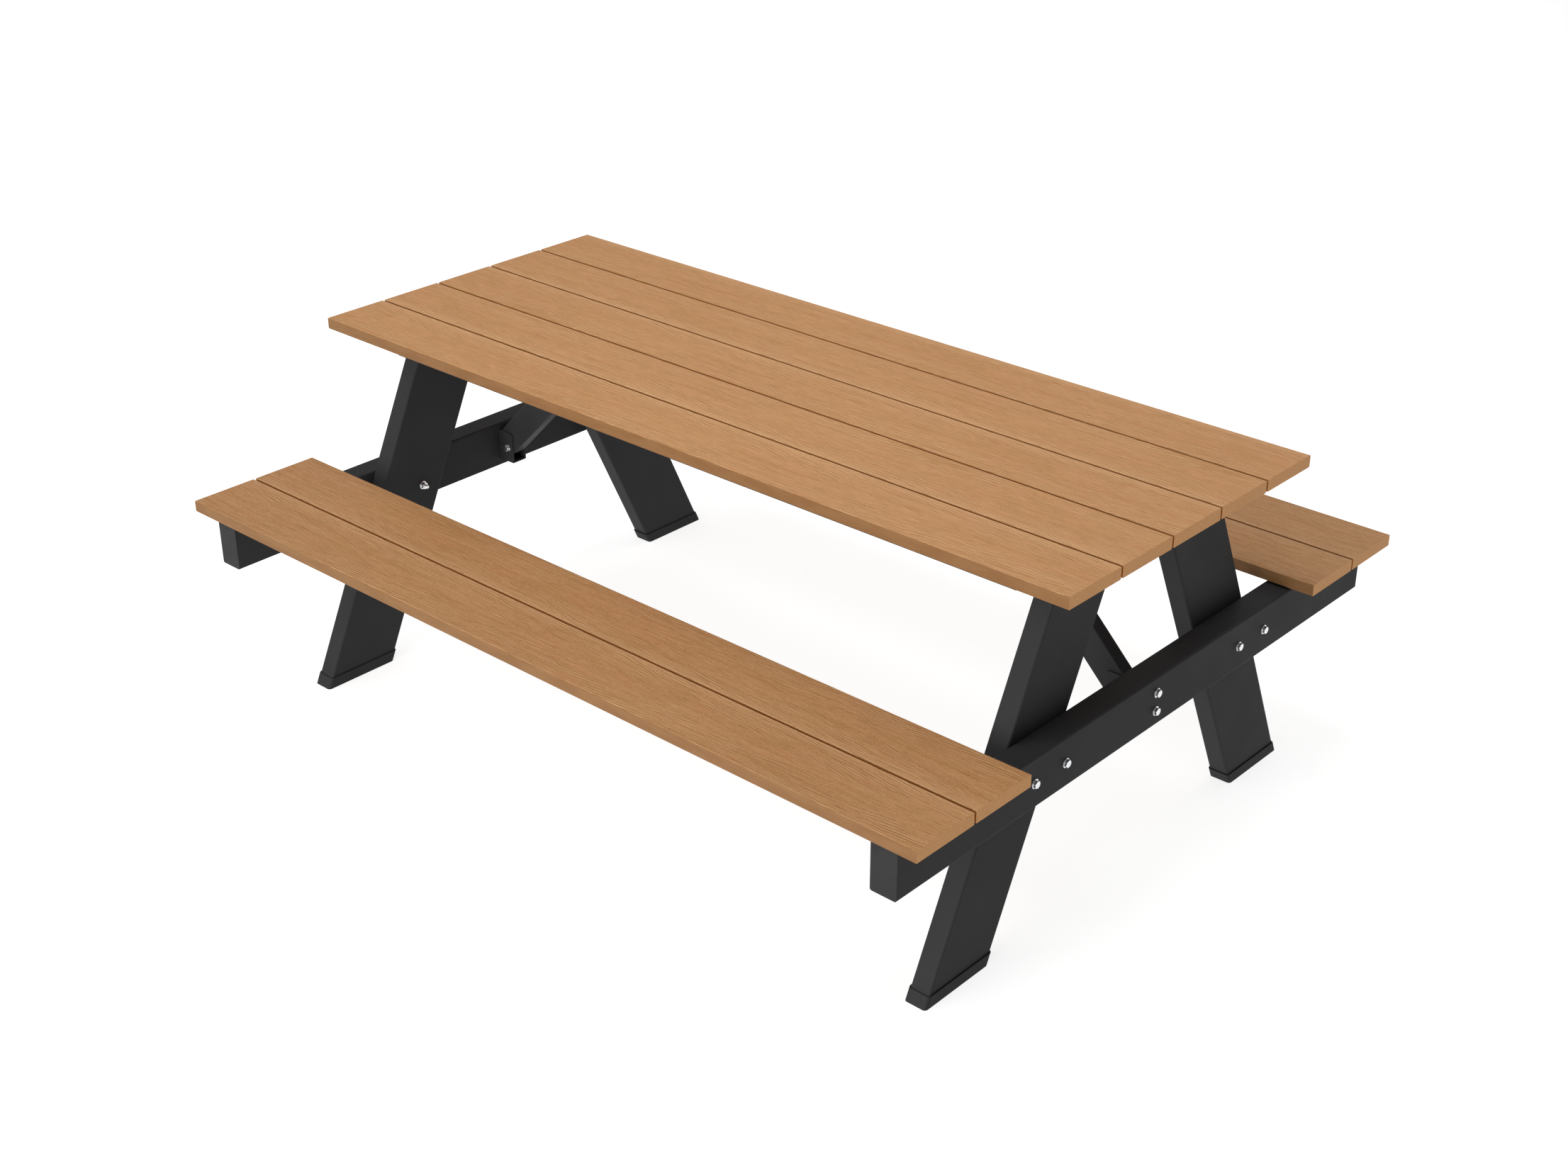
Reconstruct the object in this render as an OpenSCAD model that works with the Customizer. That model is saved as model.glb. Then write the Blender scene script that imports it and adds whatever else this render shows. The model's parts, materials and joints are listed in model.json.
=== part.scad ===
// Picnic table with two fixed benches: planks on two splayed leg frames of rectangular tube.
// X runs along the table, Y from the front bench to the back bench, Z up from the floor.
// The origin is on the floor under the middle of the tabletop. Lengths are in millimetres.

/* [Planks] */
// Length of every plank
plank_len = 1829; // [1780:1:1900]
// Width of one plank
plank_w = 141; // [138:0.5:143]
// Thickness of one plank
plank_t = 23; // [21:0.5:25]
// Gap between neighbouring planks
plank_gap = 4.5; // [3:0.5:6]
// Radius of the eased long edges of a plank
plank_edge_r = 2; // [1:0.5:3]
// Height of the tabletop above the floor
table_h = 730; // [715:1:760]
// Height of the bench tops above the floor
bench_h = 446; // [440:1:452]
// Distance from the centre line to the middle of a bench
bench_mid = 577.5; // [570:0.5:585]

/* [Leg frames] */
// Distance from the middle of the table to the inner faces of a pair of legs
frame_x = 772; // [765:1:780]
// Width of a leg tube, in the plane of its frame
leg_w = 150; // [140:1:155]
// Thickness of a leg tube, along the table
leg_t = 41; // [38:1:45]
// Lean of the legs from upright, in degrees
leg_lean = 25; // [24:0.5:26]
// Distance from the centre line to the outer edge of a leg at the floor
foot_y = 552.5; // [548:0.5:558]
// Wall of the leg, beam and brace tubes
tube_wall = 3; // [2.5:0.5:3]
// Outer corner radius of the leg and beam tubes
tube_r = 4; // [3.5:0.5:5]
// Height of a foot cap
foot_cap_h = 22; // [18:1:30]
// Wall of a foot cap
foot_cap_wall = 2.5; // [2:0.5:4]

/* [Bench beams] */
// Height of a bench beam
beam_h = 98; // [94:1:100]
// Thickness of a bench beam, along the table
beam_t = 53; // [50:1:56]
// Overall length of a bench beam with its end caps
beam_len = 1408; // [1400:1:1416]

/* [Braces] */
// Depth of a brace tube, seen from the side of the table
brace_h = 58; // [56:1:60]
// Thickness of a brace tube, across the table
brace_t = 30; // [28:1:32]
// Distance from the middle of the table to where a brace's axis crosses the middle of the beam
brace_foot_x = 801.5; // [799:0.5:803]
// Depth of a brace shoe, from the beam to the edges of its ears
shoe_depth = 42; // [40:1:46]
// Height of a brace shoe
shoe_h = 68; // [66:1:72]

/* [Angles under the planks] */
// Width of both flanges of every angle
angle_w = 38; // [38:1:40]
// Thickness of the angle flanges
angle_t = 4; // [3.5:0.5:4.5]
// Distance from the centre line to the outer faces of the top rails
rail_y = 301; // [298:1:304]
// Distance from the middle of the table to the heel of a brace bearer
brace_bearer_x = 488; // [486:1:489]

/* [Fasteners] */
// Diameter of the bolts
bolt_d = 8; // [7:0.5:8]
// Width across flats of the bolt heads and nuts
hex_af = 13; // [12:0.5:13]
// Outside diameter of the washers
washer_d = 17.5; // [16:0.5:18]
// Length of thread that stands out of a leg bolt's nut
bolt_tail = 8; // [3:1:10]
// Diameter of the plank screws
screw_d = 4.8; // [4:0.2:5]

/* [Hidden] */
$fn = 48;

plank_colour = "#B88B61";
steel_colour = "#343536";
plastic_colour = "#2B2C2D";
zinc_colour = "#D8D9DA";

// A cut runs this far past the face it opens
over = 1;
inner_r_min = 0.5;

// Heights
under_top = table_h - plank_t;
under_bench = bench_h - plank_t;
beam_top = under_bench - angle_t;
beam_mid = beam_top - beam_h / 2;

// Planks
plank_pitch = plank_w + plank_gap;
top_count = 5;
screw_row = 90;
screw_bite = 17;
screw_head_d = 9.5;
screw_face_d = 6.5;
screw_head_h = 3;

// Frames
beam_x = frame_x + leg_t;
leg_mid_foot = foot_y - leg_w / cos(leg_lean) / 2;
foot_cap_floor = 4;
cap_groove_w = 1;
cap_groove_h = 4;
leg_bolt_offsets = [-30, 56];
joint_bolt_offsets = [-45, 45];
joint_drop = 21;
beam_cap_t = 3;
beam_plug_depth = 20;
beam_plug_wall = 3;
beam_plug_r = 2;
plug_gap = 0.2;

// Fasteners
bolt_hole_d = bolt_d + 1;
head_h = 5.4;
nut_h = 6.5;
washer_t = 1.6;
short_tail = 4;
hex_face_inset = 0.4;
head_chamfer_angle = 30;
tail_chamfer = 0.8;
rail_screw_d = 6;
rail_screw_head_d = 12;
rail_screw_len = 14;
rail_screw_pitch = 23;

// Braces and their shoes
shoe_t = 3;
shoe_side_gap = 0.2;
shoe_round = 8;
shoe_bolt_pitch = 36;
shoe_lift = 1;
shoe_floor = beam_mid - shoe_h / 2 + shoe_lift;
ear_in = brace_t / 2 + shoe_side_gap;
ear_out = ear_in + shoe_t;
shoe_bolt_depth = 26;
brace_bolt_x = beam_x - shoe_bolt_depth;
brace_end_gap = 1;
brace_cut_drop = 11;
brace_cut_z = beam_mid - brace_cut_drop;
brace_r = 3;
upper_ear_w = 57;
upper_ear_h = 78;
upper_bolt_reach = 34;
upper_bolt_x = brace_bearer_x + upper_bolt_reach;
upper_bolt_z = beam_mid + brace_foot_x - upper_bolt_x;

// Angles
rail_in = rail_y - angle_t;
rail_toe = rail_y - angle_w;
screw_inset = 22;
rail_screw_xs = [-600, -360, -120, 120, 360, 600];
bench_screw_xs = [-700, -420, -140, 140, 420, 700];
bench_rail_end = beam_x + beam_t;
rail_end_gap = 1;

// Distance of plank i's centre from the centre line, of a row of planks 1 to n
function plank_y(i, n) = (i - (n + 1) / 2) * plank_pitch;

// Across-the-table places of the screws in one bearer, where the level flange reaches them
bearer_screw_ys = [
    for (i = [1:top_count], s = [-1, 1])
        let (y = plank_y(i, top_count) + s * screw_row / 2)
            if (abs(y) < rail_toe - screw_head_d / 2) y
];

// Heel and reach of every bearer: where its upright flange stands and the way its level flange points
end_heel = frame_x;
centre_heel = -angle_w / 2;

// Lengthwise place of a bearer's screws
function bearer_screw_x(heel, reach) = heel + reach * screw_inset;
bearer_screw_xs = [
    bearer_screw_x(end_heel, -1), bearer_screw_x(-end_heel, 1),
    bearer_screw_x(brace_bearer_x, 1), bearer_screw_x(-brace_bearer_x, -1),
    bearer_screw_x(centre_heel, 1)
];

// Distance from the centre line to the middle of a leg at height z
function leg_mid(z) = leg_mid_foot - z * tan(leg_lean);

// ---------- shared shapes ----------

// Rectangle with round corners, centred
module round_rect(w, h, r) {
    square([w - 2 * r, h], center = true);
    square([w, h - 2 * r], center = true);
    for (x = [-1, 1], y = [-1, 1])
        translate([x * (w / 2 - r), y * (h / 2 - r)])
            circle(r);
}

// Section of a rectangular tube, centred
module tube_section(w, h, r) {
    difference() {
        round_rect(w, h, r);
        round_rect(w - 2 * tube_wall, h - 2 * tube_wall, max(r - tube_wall, inner_r_min));
    }
}

// Puts a piece that is drawn at the right (+X) and the back (+Y) on the given sides
module on_sides(x, y) {
    mirror([x < 0 ? 1 : 0, 0, 0])
        mirror([0, y < 0 ? 1 : 0, 0])
            children();
}

// Turns a piece drawn along +Z to point along +X
module to_x() {
    rotate([0, 90, 0])
        children();
}

// Turns a piece drawn along +Z to point along -Y, with a corner of its hexagon up
module to_front() {
    rotate([90, 0, 0])
        rotate([0, 0, 90])
            children();
}

// Round hole along X through everything between two places
module hole_x(x0, x1, d) {
    translate([x0 - over, 0, 0])
        to_x()
            cylinder(d = d, h = x1 - x0 + 2 * over);
}

// Hexagonal prism with its top corners chamfered
module hex_prism(h) {
    corner_d = hex_af / cos(30);
    face_d = hex_af - hex_face_inset;
    intersection() {
        cylinder(d = corner_d, h = h, $fn = 6);
        cylinder(d1 = face_d + 2 * h / tan(head_chamfer_angle), d2 = face_d, h = h);
    }
}

// Bolt with its shank down from z = 0 and its head above
module bolt(len) {
    hex_prism(head_h);
    translate([0, 0, tail_chamfer - len])
        cylinder(d = bolt_d, h = len - tail_chamfer);
    translate([0, 0, -len])
        cylinder(d1 = bolt_d - 2 * tail_chamfer, d2 = bolt_d, h = tail_chamfer);
}

// Nut standing on z = 0
module nut() {
    difference() {
        hex_prism(nut_h);
        translate([0, 0, -over])
            cylinder(d = bolt_d, h = nut_h + 2 * over);
    }
}

// Washer standing on z = 0
module washer() {
    difference() {
        cylinder(d = washer_d, h = washer_t);
        translate([0, 0, -over])
            cylinder(d = bolt_hole_d, h = washer_t + 2 * over);
    }
}

// Plank screw: head below z = 0, shank up through the flange and into the plank
module plank_screw() {
    translate([0, 0, -screw_head_h])
        cylinder(d1 = screw_face_d, d2 = screw_head_d, h = screw_head_h);
    cylinder(d = screw_d, h = angle_t + screw_bite);
}

// Countersunk screw with its flat top at z = 0
module rail_screw() {
    head = (rail_screw_head_d - rail_screw_d) / 2;
    translate([0, 0, -head])
        cylinder(d1 = rail_screw_d, d2 = rail_screw_head_d, h = head);
    translate([0, 0, -rail_screw_len])
        cylinder(d = rail_screw_d, h = rail_screw_len);
}

// Countersunk hole for that screw
module rail_screw_hole() {
    rail_screw();
    cylinder(d = rail_screw_head_d, h = over);
}

// Angle along X, centred, with its heel at the origin, one flange level along +Y and one down
module angle_x(len) {
    translate([-len / 2, 0, -angle_t])
        cube([len, angle_w, angle_t]);
    translate([-len / 2, 0, -angle_w])
        cube([len, angle_t, angle_w]);
}

// ---------- planks ----------

// Plank along X, centred, with its top face at z = 0
module plank_blank() {
    translate([-plank_len / 2, 0, -plank_t / 2])
        rotate([90, 0, 90])
            linear_extrude(plank_len)
                round_rect(plank_w, plank_t, plank_edge_r);
}

// Hole that a plank screw cuts, up from a plank's underside
module screw_pilot() {
    translate([0, 0, -over])
        cylinder(d = screw_d, h = screw_bite + over);
}

// Places of all screws under the tabletop, at the underside of the flanges
module at_top_screws() {
    for (x = bearer_screw_xs, y = bearer_screw_ys)
        translate([x, y, under_top - angle_t])
            children();
    for (x = rail_screw_xs, s = [-1, 1])
        translate([x, s * (rail_y - screw_inset), under_top - angle_t])
            children();
}

// Tabletop plank i, counted from the front
module top_plank(i) {
    color(plank_colour)
        difference() {
            translate([0, plank_y(i, top_count), table_h])
                plank_blank();
            at_top_screws()
                translate([0, 0, angle_t])
                    screw_pilot();
        }
}

// Distance from the centre line to the middle of a bench plank and its rail: row 1 is nearer the table
function bench_y(row) = bench_mid + plank_y(row, 2);

// Places of the screws under one bench plank of the back bench
module at_bench_screws(row) {
    for (x = bench_screw_xs)
        translate([x, bench_y(row), under_bench - angle_t])
            children();
}

module bench_plank(side, row) {
    color(plank_colour)
        on_sides(1, side)
            difference() {
                translate([0, bench_y(row), bench_h])
                    plank_blank();
                at_bench_screws(row)
                    translate([0, 0, angle_t])
                        screw_pilot();
            }
}

// ---------- leg frames ----------

// Leaning prism on the leg's centre line, from a section drawn with its width along Y
module leg_prism() {
    reach = table_h / cos(leg_lean) + leg_w;
    translate([frame_x + leg_t / 2, leg_mid_foot, 0])
        rotate([leg_lean, 0, 0])
            translate([0, 0, -leg_w / 2])
                linear_extrude(reach)
                    children();
}

// Level slab that keeps what lies between two heights
module level_slab(z0, z1) {
    translate([0, -leg_w, z0])
        cube([2 * frame_x, foot_y + 2 * leg_w, z1 - z0]);
}

// Solid piece of the leg's outline, grown by a margin, between two heights
module leg_slice(margin, z0, z1) {
    intersection() {
        leg_prism()
            round_rect(leg_t + 2 * margin, leg_w + 2 * margin, tube_r + margin);
        level_slab(z0, z1);
    }
}

// Places of the bolts that join a leg to its beam, on the leg's inner face
module at_leg_bolts() {
    for (offset = leg_bolt_offsets)
        translate([frame_x, leg_mid(beam_mid) + offset, beam_mid])
            children();
}

// Places of the bolts that join a leg's top to the end bearer, on the leg's inner face
module at_joint_bolts() {
    z = under_top - joint_drop;
    for (offset = joint_bolt_offsets)
        translate([frame_x, leg_mid(z) + offset, z])
            children();
}

// Leg of tube, closed by a welded plate under the planks
module leg(x, y) {
    color(steel_colour)
        on_sides(x, y)
            difference() {
                union() {
                    intersection() {
                        leg_prism()
                            tube_section(leg_t, leg_w, tube_r);
                        level_slab(foot_cap_floor, under_top);
                    }
                    leg_slice(0, under_top - tube_wall, under_top);
                }
                at_leg_bolts()
                    hole_x(0, leg_t, bolt_hole_d);
                at_joint_bolts()
                    hole_x(0, leg_t, bolt_hole_d);
            }
}

// Cap over the foot of a leg, leaning with it, with a narrow groove round the leg at its top
module foot_cap(x, y) {
    color(plastic_colour)
        on_sides(x, y)
            difference() {
                leg_slice(foot_cap_wall, 0, foot_cap_h);
                leg_slice(0, foot_cap_floor, foot_cap_h + over);
                leg_slice(cap_groove_w, foot_cap_h - cap_groove_h, foot_cap_h + over);
            }
}

// Section of the beam in the plane across it, extruded along Y from y0
module beam_run(y0, len) {
    translate([beam_x + beam_t / 2, y0, beam_mid])
        rotate([-90, 0, 0])
            linear_extrude(len)
                children();
}

// Places of the bolts through a beam's middle into the brace shoe, on the beam's inner face
module at_shoe_bolts() {
    for (s = [-1, 1])
        translate([beam_x, 0, beam_mid + s * shoe_bolt_pitch / 2])
            children();
}

// Places of the countersunk screws that hold the back bench's rails, on the rails' top faces
module at_rail_screws() {
    for (row = [1, 2], s = [-1, 1])
        translate([beam_x + beam_t / 2 + s * rail_screw_pitch / 2, bench_y(row), under_bench])
            children();
}

module bench_beam(x) {
    run = beam_len - 2 * beam_cap_t;
    color(steel_colour)
        on_sides(x, 1)
            difference() {
                beam_run(-run / 2, run)
                    tube_section(beam_t, beam_h, tube_r);
                for (y = [-1, 1])
                    on_sides(1, y) {
                        at_leg_bolts()
                            hole_x(leg_t, leg_t + beam_t, bolt_hole_d);
                        at_rail_screws()
                            translate([0, 0, -rail_screw_len])
                                cylinder(d = rail_screw_d, h = rail_screw_len);
                    }
                at_shoe_bolts()
                    hole_x(0, beam_t, bolt_hole_d);
            }
}

// Cap in the end of a beam: a plate flush with the tube, and a hollow plug inside it
module beam_cap(x, y) {
    plug_w = beam_t - 2 * tube_wall - 2 * plug_gap;
    plug_h = beam_h - 2 * tube_wall - 2 * plug_gap;
    plate_y = beam_len / 2 - beam_cap_t;
    color(plastic_colour)
        on_sides(x, y) {
            beam_run(plate_y, beam_cap_t)
                round_rect(beam_t, beam_h, tube_r);
            beam_run(plate_y - beam_plug_depth, beam_plug_depth)
                difference() {
                    round_rect(plug_w, plug_h, beam_plug_r);
                    square([plug_w - 2 * beam_plug_wall, plug_h - 2 * beam_plug_wall], center = true);
                }
        }
}

// ---------- braces ----------

// Hole across a brace and its two ears, centred on the brace
module cross_hole() {
    translate([0, ear_out + over, 0])
        rotate([90, 0, 0])
            cylinder(d = bolt_hole_d, h = 2 * (ear_out + over));
}

// Shoe that holds the foot of a brace: a back plate on the beam, two ears and a closed floor
module brace_shoe(x) {
    left = beam_x - shoe_depth;
    color(steel_colour)
        on_sides(x, 1)
            difference() {
                translate([left, -ear_out, shoe_floor])
                    cube([shoe_depth, 2 * ear_out, shoe_h]);
                translate([left - over, -ear_in, shoe_floor + shoe_t])
                    cube([shoe_depth - shoe_t + over, 2 * ear_in, shoe_h]);
                translate([left, 0, shoe_floor + shoe_h])
                    ear_corner_cut();
                at_shoe_bolts()
                    hole_x(-shoe_t, 0, bolt_hole_d);
                translate([brace_bolt_x, 0, beam_mid])
                    cross_hole();
            }
}

// Waste that leaves the top outer corner of both ears round; the corner is at the origin
module ear_corner_cut() {
    rotate([90, 0, 0])
        translate([0, 0, -ear_out - over])
            linear_extrude(2 * (ear_out + over))
                difference() {
                    translate([-over, -shoe_round])
                        square([shoe_round + over, shoe_round + over]);
                    translate([shoe_round, -shoe_round])
                        circle(shoe_round);
                }
}

// Brace of tube at 45 degrees, cut level and upright at both ends
module brace(x) {
    run = (brace_foot_x - brace_bearer_x) / cos(45) + brace_h;
    low = [brace_bearer_x + angle_t + brace_end_gap, brace_cut_z];
    high = [beam_x - shoe_t - brace_end_gap, under_top - angle_t - shoe_t];
    color(steel_colour)
        on_sides(x, 1)
            difference() {
                intersection() {
                    translate([brace_foot_x, 0, beam_mid])
                        rotate([0, -45, 0])
                            translate([0, 0, -brace_h])
                                linear_extrude(run + brace_h)
                                    tube_section(brace_h, brace_t, brace_r);
                    translate([low[0], -brace_t, low[1]])
                        cube([high[0] - low[0], 2 * brace_t, high[1] - low[1]]);
                }
                at_brace_bolts()
                    cross_hole();
            }
}

// Places of the two bolts across a brace, on its centre plane
module at_brace_bolts() {
    translate([brace_bolt_x, 0, beam_mid])
        children();
    translate([upper_bolt_x, 0, upper_bolt_z])
        children();
}

// ---------- angles under the planks ----------

// Hole for a plank screw through a level flange, from the flange's underside up
module screw_hole() {
    translate([0, 0, -over])
        cylinder(d = screw_d, h = angle_t + 2 * over);
}

// Screw holes in the level flanges under the tabletop
module top_screw_holes() {
    at_top_screws()
        screw_hole();
}

module top_rail(y) {
    color(steel_colour)
        on_sides(1, y)
            difference() {
                translate([0, rail_y, under_top])
                    mirror([0, 1, 0])
                        angle_x(2 * frame_x);
                top_screw_holes();
            }
}

// Bearer across the table, notched at its ends to pass under the rails' level flanges
module bearer(heel, reach) {
    translate([heel, 0, under_top])
        mirror([reach < 0 ? 1 : 0, 0, 0]) {
            translate([0, -rail_toe, -angle_t])
                cube([angle_w, 2 * rail_toe, angle_t]);
            translate([0, -rail_toe, -angle_w])
                cube([angle_t, 2 * rail_toe, angle_w]);
            translate([0, -rail_in, -angle_w])
                cube([angle_t, 2 * rail_in, angle_w - angle_t]);
        }
}

module end_bearer(x) {
    color(steel_colour)
        on_sides(x, 1)
            difference() {
                bearer(end_heel, -1);
                top_screw_holes();
                for (y = [-1, 1])
                    on_sides(1, y)
                        at_joint_bolts()
                            hole_x(-angle_t, 0, bolt_hole_d);
            }
}

// Bearer with two welded ears that hold the head of a brace
module brace_bearer(x) {
    ear_x = brace_bearer_x + angle_t;
    color(steel_colour)
        on_sides(x, 1)
            difference() {
                union() {
                    bearer(brace_bearer_x, 1);
                    for (y = [-1, 1])
                        on_sides(1, y)
                            translate([ear_x, ear_in, under_top - angle_t - upper_ear_h])
                                cube([upper_ear_w, shoe_t, upper_ear_h]);
                }
                top_screw_holes();
                translate([ear_x + upper_ear_w, 0, under_top - angle_t - upper_ear_h])
                    mirror([0, 0, 1])
                        mirror([1, 0, 0])
                            ear_corner_cut();
                translate([upper_bolt_x, 0, upper_bolt_z])
                    cross_hole();
            }
}

module centre_bearer() {
    color(steel_colour)
        difference() {
            bearer(centre_heel, 1);
            top_screw_holes();
        }
}

// Bench rail: its level flange lies on the beams, its upright flange hangs between them
module bench_rail(side, row) {
    inward = row == 1 ? 1 : -1;
    color(steel_colour)
        on_sides(1, side)
            difference() {
                translate([0, bench_y(row), under_bench])
                    mirror([0, inward > 0 ? 1 : 0, 0])
                        translate([0, -angle_w / 2, 0]) {
                            translate([-bench_rail_end, 0, -angle_t])
                                cube([2 * bench_rail_end, angle_w, angle_t]);
                            translate([rail_end_gap - beam_x, 0, -angle_w])
                                cube([2 * (beam_x - rail_end_gap), angle_t, angle_w]);
                        }
                at_bench_screws(row)
                    screw_hole();
                for (x = [-1, 1])
                    on_sides(x, 1)
                        at_rail_screws()
                            rail_screw_hole();
            }
}

// ---------- fasteners ----------

// Repeats a piece of the back leg on both legs of one side
module both_legs(x) {
    for (y = [-1, 1])
        on_sides(x, y)
            children();
}

module leg_bolts(x) {
    len = beam_t + leg_t + 2 * washer_t + nut_h + bolt_tail;
    color(zinc_colour)
        both_legs(x)
            at_leg_bolts()
                translate([leg_t + beam_t + washer_t, 0, 0])
                    to_x()
                        bolt(len);
}

module leg_washers(x) {
    color(zinc_colour)
        both_legs(x)
            at_leg_bolts()
                for (place = [-washer_t, leg_t + beam_t])
                    translate([place, 0, 0])
                        to_x()
                            washer();
}

module leg_nuts(x) {
    color(zinc_colour)
        both_legs(x)
            at_leg_bolts()
                translate([-washer_t, 0, 0])
                    mirror([1, 0, 0])
                        to_x()
                            nut();
}

module shoe_bolts() {
    len = beam_t + shoe_t + 2 * washer_t + nut_h + short_tail;
    color(zinc_colour)
        for (x = [-1, 1])
            on_sides(x, 1)
                at_shoe_bolts()
                    translate([beam_t + washer_t, 0, 0])
                        to_x()
                            bolt(len);
}

module shoe_washers() {
    color(zinc_colour)
        for (x = [-1, 1])
            on_sides(x, 1)
                at_shoe_bolts()
                    for (place = [-shoe_t - washer_t, beam_t])
                        translate([place, 0, 0])
                            to_x()
                                washer();
}

module shoe_nuts() {
    color(zinc_colour)
        for (x = [-1, 1])
            on_sides(x, 1)
                at_shoe_bolts()
                    translate([-shoe_t - washer_t, 0, 0])
                        mirror([1, 0, 0])
                            to_x()
                                nut();
}

module brace_bolts() {
    len = 2 * ear_out + 2 * washer_t + nut_h + short_tail;
    color(zinc_colour)
        for (x = [-1, 1])
            on_sides(x, 1)
                at_brace_bolts()
                    translate([0, -ear_out - washer_t, 0])
                        to_front()
                            bolt(len);
}

module brace_washers() {
    color(zinc_colour)
        for (x = [-1, 1])
            on_sides(x, 1)
                at_brace_bolts()
                    for (place = [-ear_out, ear_out + washer_t])
                        translate([0, place, 0])
                            to_front()
                                washer();
}

module brace_nuts() {
    color(zinc_colour)
        for (x = [-1, 1])
            on_sides(x, 1)
                at_brace_bolts()
                    translate([0, ear_out + washer_t, 0])
                        mirror([0, 1, 0])
                            to_front()
                                nut();
}

module top_joint_bolts() {
    len = leg_t + angle_t + 2 * washer_t + nut_h + short_tail;
    color(zinc_colour)
        for (x = [-1, 1])
            both_legs(x)
                at_joint_bolts()
                    translate([leg_t + washer_t, 0, 0])
                        to_x()
                            bolt(len);
}

module top_joint_washers() {
    color(zinc_colour)
        for (x = [-1, 1])
            both_legs(x)
                at_joint_bolts()
                    for (place = [-angle_t - washer_t, leg_t])
                        translate([place, 0, 0])
                            to_x()
                                washer();
}

module top_joint_nuts() {
    color(zinc_colour)
        for (x = [-1, 1])
            both_legs(x)
                at_joint_bolts()
                    translate([-angle_t - washer_t, 0, 0])
                        mirror([1, 0, 0])
                            to_x()
                                nut();
}

module bench_rail_screws() {
    color(zinc_colour)
        for (x = [-1, 1], y = [-1, 1])
            on_sides(x, y)
                at_rail_screws()
                    rail_screw();
}

module top_plank_screws() {
    color(zinc_colour)
        at_top_screws()
            plank_screw();
}

module bench_plank_screws() {
    color(zinc_colour)
        for (y = [-1, 1], row = [1, 2])
            on_sides(1, y)
                at_bench_screws(row)
                    plank_screw();
}

// ---------- nodes ----------

top_plank(1);  // top_plank_1
top_plank(2);  // top_plank_2
top_plank(3);  // top_plank_3
top_plank(4);  // top_plank_4
top_plank(5);  // top_plank_5
bench_plank(-1, 2);  // front_bench_outer_plank
bench_plank(-1, 1);  // front_bench_inner_plank
bench_plank(1, 1);  // back_bench_inner_plank
bench_plank(1, 2);  // back_bench_outer_plank
leg(-1, -1);  // left_front_leg
leg(-1, 1);  // left_back_leg
leg(1, -1);  // right_front_leg
leg(1, 1);  // right_back_leg
foot_cap(-1, -1);  // left_front_foot_cap
foot_cap(-1, 1);  // left_back_foot_cap
foot_cap(1, -1);  // right_front_foot_cap
foot_cap(1, 1);  // right_back_foot_cap
bench_beam(-1);  // left_bench_beam
bench_beam(1);  // right_bench_beam
beam_cap(-1, -1);  // left_beam_front_cap
beam_cap(-1, 1);  // left_beam_back_cap
beam_cap(1, -1);  // right_beam_front_cap
beam_cap(1, 1);  // right_beam_back_cap
top_rail(-1);  // front_top_rail
top_rail(1);  // back_top_rail
end_bearer(-1);  // left_end_bearer
end_bearer(1);  // right_end_bearer
brace_bearer(-1);  // left_brace_bearer
brace_bearer(1);  // right_brace_bearer
centre_bearer();
bench_rail(-1, 2);  // front_bench_outer_rail
bench_rail(-1, 1);  // front_bench_inner_rail
bench_rail(1, 1);  // back_bench_inner_rail
bench_rail(1, 2);  // back_bench_outer_rail
brace(-1);  // left_brace
brace(1);  // right_brace
brace_shoe(-1);  // left_brace_shoe
brace_shoe(1);  // right_brace_shoe
leg_bolts(-1);  // left_leg_bolts
leg_washers(-1);  // left_leg_washers
leg_nuts(-1);  // left_leg_nuts
leg_bolts(1);  // right_leg_bolts
leg_washers(1);  // right_leg_washers
leg_nuts(1);  // right_leg_nuts
shoe_bolts();
shoe_washers();
shoe_nuts();
brace_bolts();
brace_washers();
brace_nuts();
top_joint_bolts();
top_joint_washers();
top_joint_nuts();
bench_rail_screws();
top_plank_screws();
bench_plank_screws();
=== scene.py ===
"""Picnic table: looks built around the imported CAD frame. Metres; X along the table, Y to the back, Z up."""

import json
import math

import bmesh
import bpy
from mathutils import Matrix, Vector


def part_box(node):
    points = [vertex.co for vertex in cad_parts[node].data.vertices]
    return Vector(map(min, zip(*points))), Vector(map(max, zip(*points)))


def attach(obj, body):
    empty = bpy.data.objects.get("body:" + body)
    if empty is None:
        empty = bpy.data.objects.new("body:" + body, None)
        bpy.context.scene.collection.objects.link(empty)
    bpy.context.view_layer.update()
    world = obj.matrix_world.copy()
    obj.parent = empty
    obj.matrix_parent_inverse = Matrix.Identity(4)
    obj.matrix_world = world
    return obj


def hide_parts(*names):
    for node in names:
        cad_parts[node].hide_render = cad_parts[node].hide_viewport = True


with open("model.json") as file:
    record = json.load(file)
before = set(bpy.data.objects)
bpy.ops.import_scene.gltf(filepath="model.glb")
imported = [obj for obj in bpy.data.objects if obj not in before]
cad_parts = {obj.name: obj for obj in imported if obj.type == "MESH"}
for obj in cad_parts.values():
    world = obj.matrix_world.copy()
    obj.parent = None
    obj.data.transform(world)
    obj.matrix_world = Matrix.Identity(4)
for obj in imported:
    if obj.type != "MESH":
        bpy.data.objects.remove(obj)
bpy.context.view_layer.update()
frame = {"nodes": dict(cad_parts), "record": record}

# ---------- places taken from the frame ----------

SLOT_OF = {s["node"]: s["material_slot"] for s in frame["record"]["subparts"]}
table_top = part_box("top_plank_3")[1].z

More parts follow.
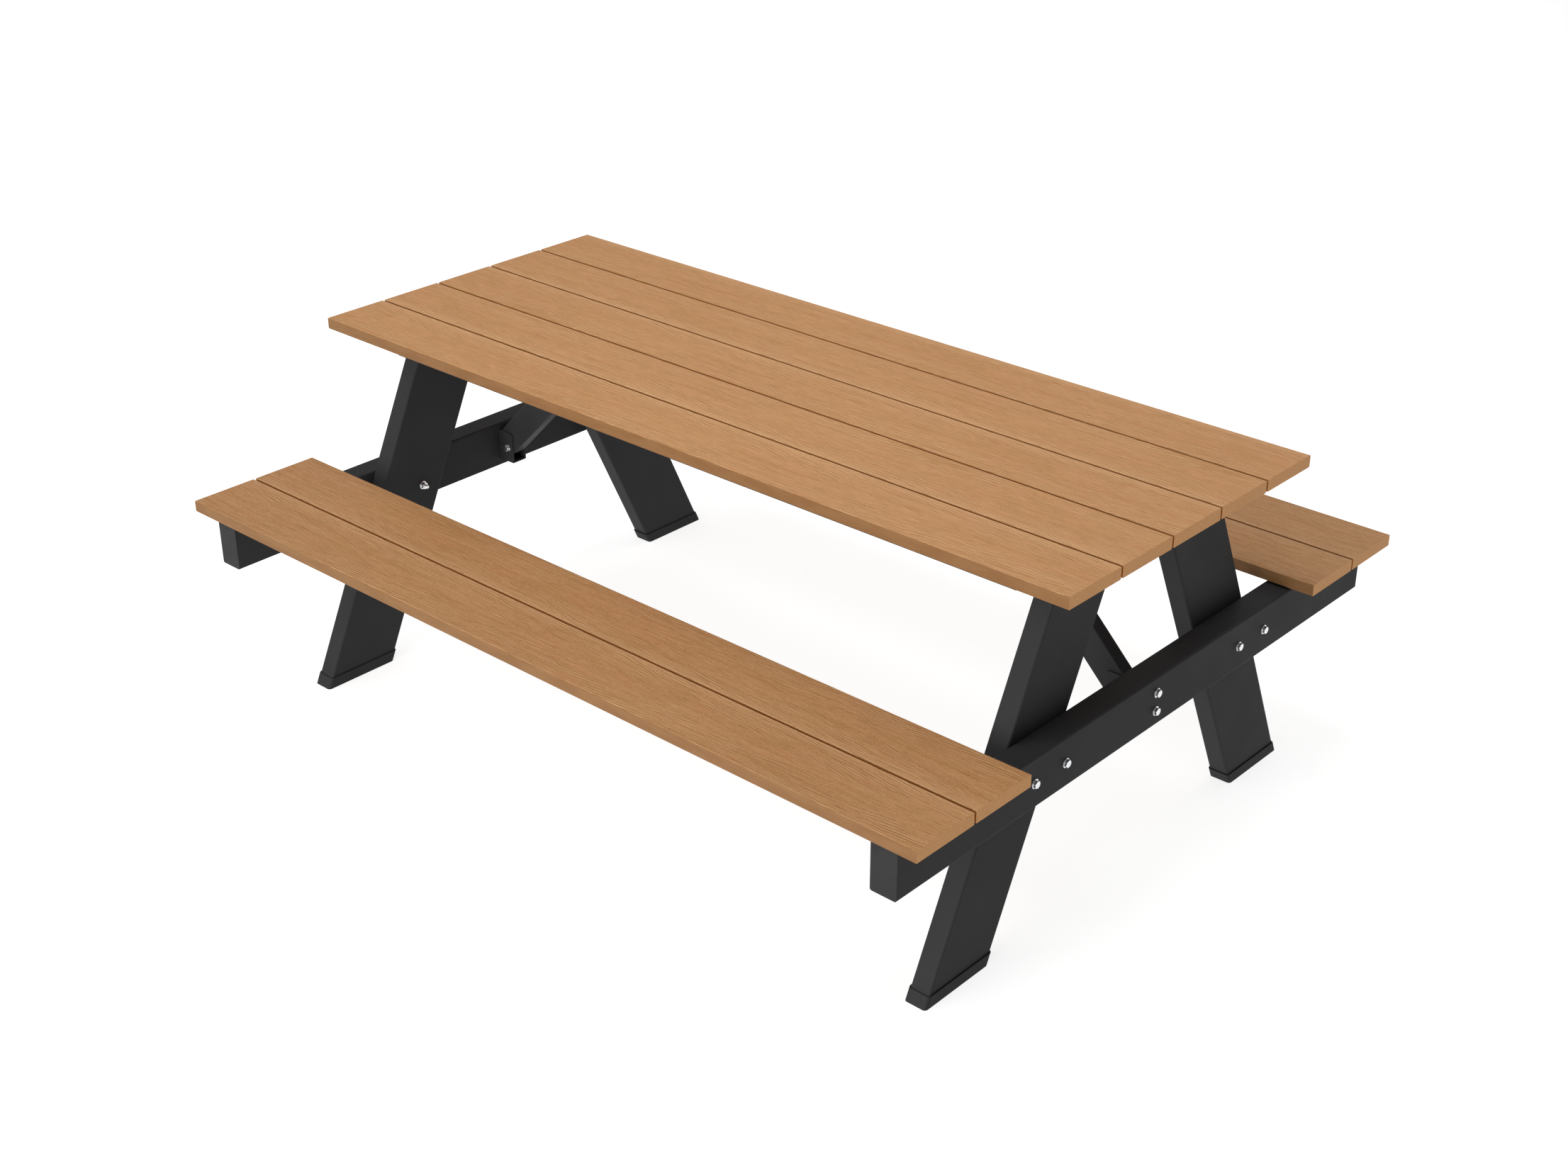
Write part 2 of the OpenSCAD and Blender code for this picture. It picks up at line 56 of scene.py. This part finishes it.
# Each board's side with the paler edge, and its sides that face a gap: 1 is +Y, -1 is -Y.
BOARDS = {
    "top_plank_1": (1, (1,)),
    "top_plank_2": (-1, (-1, 1)),
    "top_plank_3": (1, (-1, 1)),
    "top_plank_4": (-1, (-1, 1)),
    "top_plank_5": (1, (-1,)),
    "front_bench_outer_plank": (1, (1,)),
    "front_bench_inner_plank": (-1, (-1,)),
    "back_bench_inner_plank": (1, (1,)),
    "back_bench_outer_plank": (-1, (-1,)),
}

# ---------- node helpers ----------


def linear(r, g, b):
    """Linear colour of an sRGB colour given as 0 to 255."""
    parts = (c / 255 for c in (r, g, b))
    return tuple(c / 12.92 if c <= 0.04045 else ((c + 0.055) / 1.055) ** 2.4 for c in parts)


class Graph:
    """One material's node tree, with short names for the nodes that it uses."""

    def __init__(self, name):
        self.material = bpy.data.materials.new(name)
        self.material.use_nodes = True
        self.tree = self.material.node_tree
        self.shader = self.tree.nodes["Principled BSDF"]
        source = self.tree.nodes.new("ShaderNodeTexCoord")
        self.place = source.outputs["Object"]
        self.normal = source.outputs["Normal"]

    def feed(self, socket, value):
        """Links a socket or sets a number, vector or colour."""
        if isinstance(value, bpy.types.NodeSocket):
            self.tree.links.new(value, socket)
        elif isinstance(value, tuple) and len(value) == 3 and socket.type == "RGBA":
            socket.default_value = (*value, 1.0)
        else:
            socket.default_value = value

    def math(self, operation, *values):
        n = self.tree.nodes.new("ShaderNodeMath")
        n.operation = operation
        for socket, value in zip(n.inputs, values):
            self.feed(socket, value)
        return n.outputs[0]

    def ramp(self, value, low, high, out_low=0.0, out_high=1.0, smooth=True):
        """Maps value from low..high to out_low..out_high, held flat outside."""
        n = self.tree.nodes.new("ShaderNodeMapRange")
        n.interpolation_type = "SMOOTHSTEP" if smooth else "LINEAR"
        n.clamp = True
        for key, number in zip(("Value", "From Min", "From Max", "To Min", "To Max"),
                               (value, low, high, out_low, out_high)):
            self.feed(n.inputs[key], number)
        return n.outputs["Result"]

    def scaled(self, vector, scale, offset=(0.0, 0.0, 0.0)):
        """The vector times scale plus offset, part by part."""
        n = self.tree.nodes.new("ShaderNodeVectorMath")
        n.operation = "MULTIPLY_ADD"
        for socket, value in zip(n.inputs, (vector, scale, offset)):
            self.feed(socket, value)
        return n.outputs[0]

    def noise(self, vector, scale, detail=2.0, rough=0.5):
        """Noise of 0 to 1 with so many waves per metre along X, Y and Z."""
        n = self.tree.nodes.new("ShaderNodeTexNoise")
        n.inputs["Scale"].default_value = 1.0
        n.inputs["Detail"].default_value = detail
        n.inputs["Roughness"].default_value = rough
        self.feed(n.inputs["Vector"], self.scaled(vector, scale))
        return n.outputs["Fac"]

    def split(self, vector):
        """The vector's X, Y and Z."""
        n = self.tree.nodes.new("ShaderNodeSeparateXYZ")
        self.feed(n.inputs[0], vector)
        return tuple(n.outputs)

    def mix(self, share, a, b):
        """Colour a with that share of colour b."""
        n = self.tree.nodes.new("ShaderNodeMix")
        n.data_type = "RGBA"
        colours = [s for s in n.inputs if s.type == "RGBA"]
        self.feed(n.inputs[0], share)
        self.feed(colours[0], a)
        self.feed(colours[1], b)
        return next(s for s in n.outputs if s.type == "RGBA")

    def bump(self, height, depth, under=None):
        """Bump of the given depth in metres where height runs from 0 to 1."""
        n = self.tree.nodes.new("ShaderNodeBump")
        n.inputs["Distance"].default_value = depth
        self.feed(n.inputs["Height"], height)
        if under is not None:
            self.feed(n.inputs["Normal"], under)
        return n.outputs["Normal"]

    def finish(self, colour, rough, normal):
        """Feeds the shader and returns the material."""
        self.feed(self.shader.inputs["Base Color"], colour)
        self.feed(self.shader.inputs["Roughness"], rough)
        self.feed(self.shader.inputs["Normal"], normal)
        return self.material


# ---------- materials ----------

# Light and gloss taken to fall on the boards' tops, bench tops, long sides and ends in this studio, used to
# choose their base colours. They are fitted so that each kind of face shows a chosen shade, so the darker
# bench boards and long sides and the paler ends are partly painted shade and light, partly the boards' own
# tone
ON_TOP = (1.42, 0.026)
ON_BENCH = (1.57, 0.026)
ON_SIDE = (1.62, 0.028)
ON_END = (0.653, 0.034)

# The grain's nested arches: how far apart their tips are along the board, how fast they fan
# out from the board's middle, how round their tips are, and the least slope of their lines
ARCH_PITCH = 0.099
ARCH_SLOPE = 22.5
ARCH_ROUND = 0.040
ARCH_LEAST_SLOPE = 3.0

# How far the slow sway and the quick quiver shift the arches across the board
SWAY = 0.034
QUIVER = 0.0035

# Grooves and crests beside each arch line: distance from it, half width, and strength
GROOVES = ((0.0, 0.0013, 1.0), (0.0040, 0.0011, 0.6))
CRESTS = ((-0.0017, 0.0012, 1.0), (0.0021, 0.0012, 0.8))

# How far along each board's grain starts from the grain of the board before
NEXT_BOARD = 0.1831

# Depths of the boards' bumps
GROOVE_DEPTH = 0.00016
HAIR_DEPTH = 0.00022
SPECK_DEPTH = 0.00008

# Painted shade in the gaps between boards, a brown over the sides where shade falls: its sRGB
# colour, its share, and how far below a board's top it starts and is full
GAP_SHADE_COLOUR = (160, 91, 24)
GAP_SHADE_SHARE = 0.88
GAP_SHADE_START = 0.0006
GAP_SHADE_FULL = 0.0032


def shows_as(colour, falls):
    """Base colour that shows as the given sRGB colour where that light and gloss fall on it."""
    light, gloss = falls
    return tuple(max(c - gloss, 0.001) / light for c in linear(*colour))


def peaks(g, value, places):
    """A sum of peaks, each at its place and of its strength, that fall to 0 on both sides."""
    total = 0.0
    for at, half, strength in places:
        off = g.math("ABSOLUTE", g.math("SUBTRACT", value, at))
        total = g.math("MULTIPLY_ADD", g.ramp(off, 0.0, half, 1.0, 0.0), strength, total)
    return total


def grain_relief(g, place):
    """Relief of a board's embossed grain, and the place across the board as the grain bends it.

    The relief is above 0 in a groove and below 0 on the crest beside it. The grooves are level
    lines of nested arches that point along the board, as in flat-sawn wood."""
    along, across, _ = g.split(place)
    sway = g.noise(place, (4.5, 9.0, 9.0))
    quiver = g.noise(place, (24.0, 60.0, 60.0))
    across = g.math("MULTIPLY_ADD", g.math("SUBTRACT", sway, 0.5), SWAY, across)
    across = g.math("MULTIPLY_ADD", g.math("SUBTRACT", quiver, 0.5), QUIVER, across)
    reach = g.math("SQRT", g.math("MULTIPLY_ADD", across, across, ARCH_ROUND ** 2))
    arch = g.math("MULTIPLY_ADD", g.math("SUBTRACT", reach, ARCH_ROUND), ARCH_SLOPE, along)
    phase = g.math("SUBTRACT", g.math("FRACT", g.math("DIVIDE", arch, ARCH_PITCH)), 0.5)
    steep = g.math("DIVIDE", g.math("MULTIPLY", g.math("ABSOLUTE", across), ARCH_SLOPE), reach)
    steep = g.math("MAXIMUM", steep, ARCH_LEAST_SLOPE)
    off = g.math("DIVIDE", g.math("MULTIPLY", phase, ARCH_PITCH), steep)

    relief = g.math("SUBTRACT", peaks(g, off, GROOVES), peaks(g, off, CRESTS))
    fade = g.ramp(g.noise(place, (8.5, 85.0, 85.0)), 0.38, 0.62, 0.10, 1.0)
    tips = g.ramp(g.math("ABSOLUTE", across), 0.003, 0.017, 0.12, 1.0)
    return g.math("MULTIPLY", relief, g.math("MULTIPLY", fade, tips)), across


def grain_streaks(g, place, bent):
    """Slow streaks of tone, a few millimetres wide, that run along the board with its grooves."""
    along = g.split(place)[0]
    n = g.tree.nodes.new("ShaderNodeCombineXYZ")
    g.feed(n.inputs["X"], along)
    g.feed(n.inputs["Y"], bent)
    return g.noise(n.outputs[0], (3.2, 110.0, 1.0), 3.0, 0.55)


def layered(g, value, edges, share, colour, tint):
    """The colour with a tint over it, from none at the first edge to the share at the second."""
    if edges[0] > edges[1]:
        amount = g.ramp(value, edges[1], edges[0], share, 0.0)
    else:
        amount = g.ramp(value, edges[0], edges[1], 0.0, share)
    return g.mix(amount, colour, tint)


def face_colour(g, place, relief, hairs, streaks, speck, falls):
    """Colour of a board's flat faces under that light and gloss."""
    across = g.split(place)[1]
    mottle = g.ramp(g.noise(place, (17.0, 30.0, 30.0)), 0.36, 0.64)
    clouds = g.noise(place, (3.0, 34.0, 34.0))
    colour = g.mix(mottle, shows_as((198, 145, 101), falls), shows_as((191, 142, 95), falls))
    for value, edges, share, tint in (
        (clouds, (0.35, 0.70), 0.45, (204, 155, 107)),
        (streaks, (0.50, 0.72), 0.55, (174, 123, 78)),
        (streaks, (0.48, 0.30), 0.45, (209, 160, 114)),
        (across, (0.044, 0.064), 0.50, (211, 164, 119)),
        # a paler line along the pale edge: a painted highlight where the rounded edge catches light
        (across, (0.0635, 0.0685), 0.35, (222, 178, 133)),
        (hairs, (0.53, 0.74), 0.60, (154, 107, 65)),
        (hairs, (0.47, 0.27), 0.60, (221, 172, 126)),
        (speck, (0.50, 0.66), 0.50, (162, 116, 74)),
        (speck, (0.50, 0.34), 0.50, (216, 168, 122)),
        (relief, (0.1, 0.9), 0.70, (142, 95, 52)),
        (relief, (-0.1, -0.9), 0.70, (222, 177, 130)),
    ):
        colour = layered(g, value, edges, share, colour, shows_as(tint, falls))
    return colour


def paint_gap_shade(g, colour, normal_y, below, gap_sides):
    """The colour with painted shade, a brown, over the sides that face a gap, from just below the rim down.
    """
    depth = g.ramp(below, GAP_SHADE_START, GAP_SHADE_FULL)
    for gap_side in gap_sides:
        facing = g.ramp(g.math("MULTIPLY", normal_y, float(gap_side)), 0.25, 0.7)
        # painted shade: brown over a side that faces a gap, fuller further down
        gap_shade = g.math("MULTIPLY", g.math("MULTIPLY", facing, depth), GAP_SHADE_SHARE)
        colour = g.mix(gap_shade, colour, linear(*GAP_SHADE_COLOUR))
    return colour


def board_material(name, turn, gap_sides, number):
    """Wood-and-plastic composite board with an embossed grain along X, darker long sides and paler ends;
    these face colours are partly painted shade and light.
    """
    low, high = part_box(name)
    mid_y = (low.y + high.y) / 2
    g = Graph("board_" + name)
    place = g.scaled(g.place, (turn, turn, 1.0), (number * NEXT_BOARD, -turn * mid_y, 0.0))
    normal_x, normal_y, _ = g.split(g.normal)
    below = g.math("SUBTRACT", high.z, g.split(g.place)[2])
    # bench boards get a darker base colour than the tabletop: partly painted shade
    falls = ON_BENCH if "bench" in name else ON_TOP

    relief, bent = grain_relief(g, place)
    hairs = g.noise(place, (30.0, 400.0, 400.0), 3.0, 0.6)
    speck = g.noise(place, (600.0, 600.0, 600.0), 3.0, 0.65)
    top = face_colour(g, place, relief, hairs, grain_streaks(g, place, bent), speck, falls)
    blotch = g.ramp(g.noise(place, (14.0, 70.0, 60.0)), 0.35, 0.65)
    # darker long sides and paler ends: partly painted shade and light, partly the boards' own tone
    side = g.mix(blotch, shows_as((154, 114, 78), ON_SIDE), shows_as((161, 121, 84), ON_SIDE))
    grit = g.ramp(speck, 0.35, 0.65)
    end = g.mix(grit, shows_as((160, 119, 81), ON_END), shows_as((173, 132, 94), ON_END))

    flank = g.ramp(g.math("ABSOLUTE", normal_y), 0.55, 0.85)
    cut = g.ramp(g.math("ABSOLUTE", normal_x), 0.55, 0.85)
    colour = g.mix(cut, g.mix(flank, top, side), end)
    # painted shade down the sides of the boards that face a gap
    colour = paint_gap_shade(g, colour, normal_y, below, gap_sides)

    plain = g.math("SUBTRACT", 1.0, g.math("MAXIMUM", flank, cut))
    carved = g.math("MULTIPLY", g.math("MULTIPLY", relief, plain), -1.0)
    normal = g.bump(carved, GROOVE_DEPTH)
    normal = g.bump(g.math("MULTIPLY", hairs, plain), HAIR_DEPTH, under=normal)
    normal = g.bump(speck, SPECK_DEPTH, under=normal)
    rough = g.ramp(hairs, 0.3, 0.7, 0.54, 0.70, smooth=False)
    g.shader.inputs["Specular IOR Level"].default_value = 0.22
    return g.finish(colour, rough, normal)


def steel_material():
    """Satin charcoal powder coat with a faint orange peel."""
    g = Graph("powder_coat")
    peel = g.noise(g.place, (780.0,) * 3, 2.0)
    cloud = g.noise(g.place, (8.0,) * 3, 4.0, 0.55)
    fleck = g.noise(g.place, (2600.0,) * 3, 1.0)
    colour = g.mix(g.ramp(cloud, 0.3, 0.7), linear(46, 46, 47), linear(49, 49, 50))
    colour = g.mix(g.ramp(fleck, 0.62, 0.80, 0.0, 0.35), colour, linear(60, 60, 61))
    g.shader.inputs["Specular IOR Level"].default_value = 0.05
    return g.finish(colour, g.ramp(cloud, 0.3, 0.7, 0.46, 0.56), g.bump(peel, 0.00007))


def plastic_material():
    """Moulded near-black plastic with a fine spark-eroded grain."""
    g = Graph("moulded_plastic")
    grain = g.noise(g.place, (1700.0,) * 3, 2.0, 0.6)
    cloud = g.noise(g.place, (14.0,) * 3, 3.0)
    colour = g.mix(g.ramp(cloud, 0.3, 0.7), linear(43, 43, 44), linear(47, 47, 48))
    g.shader.inputs["Specular IOR Level"].default_value = 0.06
    return g.finish(colour, g.ramp(grain, 0.3, 0.7, 0.48, 0.62), g.bump(grain, 0.00012))


def zinc_material():
    """Bright zinc plating with a faint crystalline fleck."""
    g = Graph("zinc_plate")
    fleck = g.noise(g.place, (520.0,) * 3, 3.0, 0.6)
    colour = g.mix(g.ramp(fleck, 0.3, 0.7), linear(214, 216, 219), linear(238, 239, 240))
    g.shader.inputs["Metallic"].default_value = 1.0
    return g.finish(colour, g.ramp(fleck, 0.3, 0.7, 0.20, 0.34), g.bump(fleck, 0.00006))


MATERIALS = {"steel": steel_material(), "plastic": plastic_material(), "zinc": zinc_material()}
for number, (board, (paler, gaps)) in enumerate(BOARDS.items(), start=1):
    MATERIALS[board] = board_material(board, paler, gaps, number)


def material_for(name):
    """A board's own material, or the one of the node's slot."""
    return MATERIALS.get(name) or MATERIALS[SLOT_OF[name]]


for node_name, node in frame["nodes"].items():
    node.data.materials.clear()
    node.data.materials.append(material_for(node_name))

# ---------- rounded edges ----------

EDGE_ROUND = {"planks": 0.0012, "plastic": 0.0022}
ROUND_STEPS = 3
ROUND_BEND = math.radians(40)  # edges that bend more than this are rounded
SAME_POINT = 0.00001  # points closer than this are one point of a CAD mesh


def round_edges(node_name):
    """Rounds a CAD node's hard edges with modifiers, which leave its own mesh as it is."""
    obj = frame["nodes"][node_name]
    weld = obj.modifiers.new("weld", "WELD")
    weld.merge_threshold = SAME_POINT
    bevel = obj.modifiers.new("round", "BEVEL")
    bevel.width = EDGE_ROUND[SLOT_OF[node_name]]
    bevel.segments = ROUND_STEPS
    bevel.limit_method = "ANGLE"
    bevel.angle_limit = ROUND_BEND
    bevel.harden_normals = True


# ---------- bolts with rolled threads ----------

BOLT_NODES = ("left_leg_bolts", "right_leg_bolts", "shoe_bolts", "brace_bolts", "top_joint_bolts")
TURN_STEPS = 48  # faces round a bolt
CRISP_BEND = math.radians(28)  # edges that bend more than this stay crisp
BOLT_SPIN = math.radians(23)  # each bolt's head is turned this much from the last one's
NODE_SPIN = math.radians(11)  # and each node's first bolt this much from the last node's first

SAME_RING_POINT = 0.000001  # points of a bolt closer than this are one point

# How far out the head and the shank lie, as shares of the bolt's widest point
HEAD_FROM = 0.7
SHANK_TO = 0.6

# The head: its chamfered outer face, and the washer face under it, as shares of the flats' radius
FACE_SHARE = 0.94
FACE_EASE = 0.0003
CHAMFER_SLOPE = math.tan(math.radians(60))
CHAMFER_START = 0.0001
CHAMFER_STEP = 0.00024
CHAMFER_STEPS = 6
COLLAR_SHARE = 0.95
COLLAR_HEIGHT = 0.0004

# The thread, its run-out towards the head, and the chamfer at its tip
THREAD_PITCH = 0.00125
THREAD_DEPTH = 0.00062
THREAD_LENGTH = 0.022
THREAD_ROWS = 6  # rings of points in each turn of the thread
PLAIN_LENGTH = 0.002  # at least this much shank stays plain below the head
RUN_OUT = 0.0006
RUN_OUT_TURNS = 1.5
TIP_LENGTH = 0.0012
TIP_DROP = 0.0008


def islands(mesh):
    """The separate solids of a mesh, each as a list of its points."""
    bm = bmesh.new()
    bm.from_mesh(mesh)
    bmesh.ops.remove_doubles(bm, verts=bm.verts, dist=SAME_POINT)
    left = set(bm.verts)
    found = []
    while left:
        stack = [left.pop()]
        points = []
        while stack:
            vert = stack.pop()
            points.append(vert.co.copy())
            near = [e.other_vert(vert) for e in vert.link_edges]
            fresh = [v for v in near if v in left]
            left.difference_update(fresh)
            stack.extend(fresh)
        found.append(points)
    bm.free()
    return sorted(found, key=lambda pts: tuple(round(min(p[i] for p in pts), 4) for i in range(3)))


def bolt_facts(points):
    """Where a bolt lies: its head's outer middle, its direction, and its sizes."""
    low = Vector([min(p[i] for p in points) for i in range(3)])
    high = Vector([max(p[i] for p in points) for i in range(3)])
    size = high - low
    axis = max(range(3), key=lambda i: size[i])
    middle = (low + high) / 2

    def radius(p):
        offset = p - middle
        offset[axis] = 0.0
        return offset.length

    widest = max(radius(p) for p in points)
    head = [p[axis] for p in points if radius(p) > HEAD_FROM * widest]
    shank = max(radius(p) for p in points if radius(p) < SHANK_TO * widest)
    forward = 1.0 if min(head) - low[axis] < high[axis] - max(head) else -1.0
    start = middle.copy()
    start[axis] = low[axis] if forward > 0 else high[axis]
    way = Vector((0.0, 0.0, 0.0))
    way[axis] = forward
    return start, way, size[axis], max(head) - min(head), widest, shank


def hex_radius(turn, corner):
    """Distance from the middle to the edge of a hexagon whose corners are that far out."""
    sixth = math.pi / 3
    return corner * math.cos(sixth / 2) / math.cos(turn % sixth - sixth / 2)


def head_rings(head, corner):
    """Places along a bolt's head, each with its radius as a function of the turn."""
    flat = corner * math.cos(math.pi / 6)
    face = FACE_SHARE * flat
    rings = [(0.0, lambda t: face - FACE_EASE)]
    for step in range(CHAMFER_STEPS):
        z = CHAMFER_START + CHAMFER_STEP * step
        rings.append((z, lambda t, z=z: min(hex_radius(t, corner), face + z * CHAMFER_SLOPE)))
    collar = head - COLLAR_HEIGHT
    rings.append((collar, lambda t: hex_radius(t, corner)))
    rings.append((collar, lambda t: COLLAR_SHARE * flat))
    rings.append((head, lambda t: COLLAR_SHARE * flat))
    return rings


def shank_rings(length, head, shank):
    """Places along a bolt's plain shank and thread, each with its radius by the turn."""
    begin = max(length - THREAD_LENGTH, head + PLAIN_LENGTH)
    rings = [(head, lambda t: shank), (begin - RUN_OUT, lambda t: shank)]
    rows = int((length - begin) / THREAD_PITCH * THREAD_ROWS)
    for row in range(rows + 1):
        z = begin + (length - begin) * row / rows
        rings.append((z, lambda t, z=z: thread_radius(t, z, begin, length, shank)))
    return rings


def thread_radius(turn, z, begin, length, shank):
    """Radius of the thread, which fades in from where it begins and narrows at the tip."""
    wave = abs(((z / THREAD_PITCH - turn / (2 * math.pi)) % 1.0) * 2 - 1)
    depth = THREAD_DEPTH * min(1.0, (z - begin) / (RUN_OUT_TURNS * THREAD_PITCH))
    tip = shank - TIP_DROP * (1 - (length - z) / TIP_LENGTH)
    return min(shank - depth * (1 - wave), tip)


def add_turned(bm, rings, start, way, spin):
    """Adds a closed turned solid along way, whose rings may be hexagonal or threaded."""
    side = way.orthogonal().normalized()
    other = way.cross(side)
    loops = []
    for z, radius in rings:
        loop = []
        for step in range(TURN_STEPS):
            turn = 2 * math.pi * step / TURN_STEPS
            out = side * math.cos(turn + spin) + other * math.sin(turn + spin)
            loop.append(bm.verts.new(start + way * z + out * radius(turn)))
        loops.append(loop)
    for one, two in zip(loops, loops[1:]):
        for i in range(TURN_STEPS):
            j = (i + 1) % TURN_STEPS
            bm.faces.new((one[i], one[j], two[j], two[i]))
    for loop, z in ((loops[0][::-1], rings[0][0]), (loops[-1], rings[-1][0])):
        middle = bm.verts.new(start + way * z)
        for i in range(TURN_STEPS):
            bm.faces.new((loop[i], loop[(i + 1) % TURN_STEPS], middle))


def sharpen(bm, angle):
    """Smooth faces, with every edge that bends more than the angle kept crisp."""
    bm.normal_update()
    for face in bm.faces:
        face.smooth = True
    for edge in bm.edges:
        edge.smooth = len(edge.link_faces) == 2 and edge.calc_face_angle(0.0) < angle


def threaded_bolts(node_name, first_spin):
    """Puts bolts with a chamfered head and a thread in the place of a node's plain ones."""
    bm = bmesh.new()
    for i, points in enumerate(islands(frame["nodes"][node_name].data)):
        start, way, length, head, corner, shank = bolt_facts(points)
        rings = head_rings(head, corner) + shank_rings(length, head, shank)
        add_turned(bm, rings, start, way, first_spin + BOLT_SPIN * i)
    bmesh.ops.remove_doubles(bm, verts=bm.verts, dist=SAME_RING_POINT)
    bmesh.ops.recalc_face_normals(bm, faces=bm.faces)
    sharpen(bm, CRISP_BEND)
    mesh = bpy.data.meshes.new(node_name + "_threaded")
    bm.to_mesh(mesh)
    bm.free()
    mesh.materials.append(MATERIALS["zinc"])
    piece = bpy.data.objects.new(node_name + "_threaded", mesh)
    bpy.context.scene.collection.objects.link(piece)
    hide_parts(node_name)
    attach(piece, "root")


for node_name in frame["nodes"]:
    if SLOT_OF[node_name] in EDGE_ROUND:
        round_edges(node_name)
for number, node_name in enumerate(BOLT_NODES):
    threaded_bolts(node_name, NODE_SPIN * number)

# ---------- camera, floor and light ----------

AIM = (0.0, 0.0, 0.4)  # what the softboxes point at

# Softboxes: name, place, width in metres, watts
SOFTBOXES = (
    ("key", (-2.5, -4.5, 4.5), 3.0, 94.5),
    ("front", (0.5, -5.5, 1.5), 3.0, 223.0),
    ("above", (0.0, -0.2, 4.2), 2.5, 84.0),
    ("back", (1.0, 5.5, 3.5), 3.0, 72.0),
)

# The fill light's strength from the left half of the room, and its strength from the right,
# reached where a direction leans that far towards +X
FILL_LEFT = 0.60
FILL_RIGHT = 0.15
FILL_LEAN = 0.6


def camera():
    """The photograph's view: over the front right corner, with a normal lens."""
    azimuth, elevation = math.radians(41.975), math.radians(27.31)
    target = Vector((0.5694, -0.6298, table_top))
    distance = 3.3585
    back = Vector((
        math.sin(azimuth) * math.cos(elevation),
        -math.cos(azimuth) * math.cos(elevation),
        math.sin(elevation),
    ))
    data = bpy.data.cameras.new("photo_camera")
    data.sensor_width = 36.0
    data.lens = 50.09
    data.dof.use_dof = False
    cam = bpy.data.objects.new("photo_camera", data)
    cam.location = target + back * distance
    cam.rotation_mode = "QUATERNION"
    cam.rotation_quaternion = (-back).to_track_quat("-Z", "Y")
    bpy.context.scene.collection.objects.link(cam)
    bpy.context.scene.camera = cam


def floor():
    """A pale floor that glows, so that it stays white away from the softboxes."""
    half = 30.0
    mesh = bpy.data.meshes.new("floor")
    corners = [(-half, -half, 0), (half, -half, 0), (half, half, 0), (-half, half, 0)]
    mesh.from_pydata(corners, [], [(0, 1, 2, 3)])
    obj = bpy.data.objects.new("floor", mesh)
    bpy.context.scene.collection.objects.link(obj)
    g = Graph("studio_floor")
    g.shader.inputs["Base Color"].default_value = (0.32, 0.32, 0.32, 1.0)
    g.shader.inputs["Emission Color"].default_value = (1.0, 1.0, 1.0, 1.0)
    g.shader.inputs["Emission Strength"].default_value = 0.81
    g.shader.inputs["Roughness"].default_value = 0.9
    g.shader.inputs["Specular IOR Level"].default_value = 0.1
    mesh.materials.append(g.material)


def softbox(name, place, size, power):
    """A square area light that points at the middle of the table."""
    data = bpy.data.lights.new(name, "AREA")
    data.shape = "SQUARE"
    data.size = size
    data.energy = power
    obj = bpy.data.objects.new(name, data)
    obj.location = place
    obj.rotation_mode = "QUATERNION"
    obj.rotation_quaternion = (Vector(AIM) - Vector(place)).to_track_quat("-Z", "Y")
    bpy.context.scene.collection.objects.link(obj)


def studio():
    """A plain white backdrop, four softboxes, and a dim fill that comes mostly from the left."""
    world = bpy.data.worlds.new("studio")
    world.use_nodes = True
    tree = world.node_tree
    tree.nodes["Background"].inputs["Strength"].default_value = 1.0
    way = tree.nodes.new("ShaderNodeTexCoord")
    split = tree.nodes.new("ShaderNodeSeparateXYZ")
    tree.links.new(way.outputs["Generated"], split.inputs[0])
    dim = tree.nodes.new("ShaderNodeMapRange")
    tree.links.new(split.outputs["X"], dim.inputs["Value"])
    dim.inputs["From Min"].default_value = 0.0
    dim.inputs["From Max"].default_value = FILL_LEAN
    dim.inputs["To Min"].default_value = FILL_LEFT
    dim.inputs["To Max"].default_value = FILL_RIGHT
    seen = tree.nodes.new("ShaderNodeLightPath")
    glow = tree.nodes.new("ShaderNodeMath")
    glow.operation = "MAXIMUM"
    tree.links.new(dim.outputs["Result"], glow.inputs[0])
    tree.links.new(seen.outputs["Is Camera Ray"], glow.inputs[1])
    tree.links.new(glow.outputs[0], tree.nodes["Background"].inputs["Color"])
    bpy.context.scene.world = world
    for name, place, size, power in SOFTBOXES:
        softbox(name, place, size, power)
    bpy.context.scene.view_settings.view_transform = "Standard"
    bpy.context.scene.view_settings.look = "None"


camera()
floor()
studio()
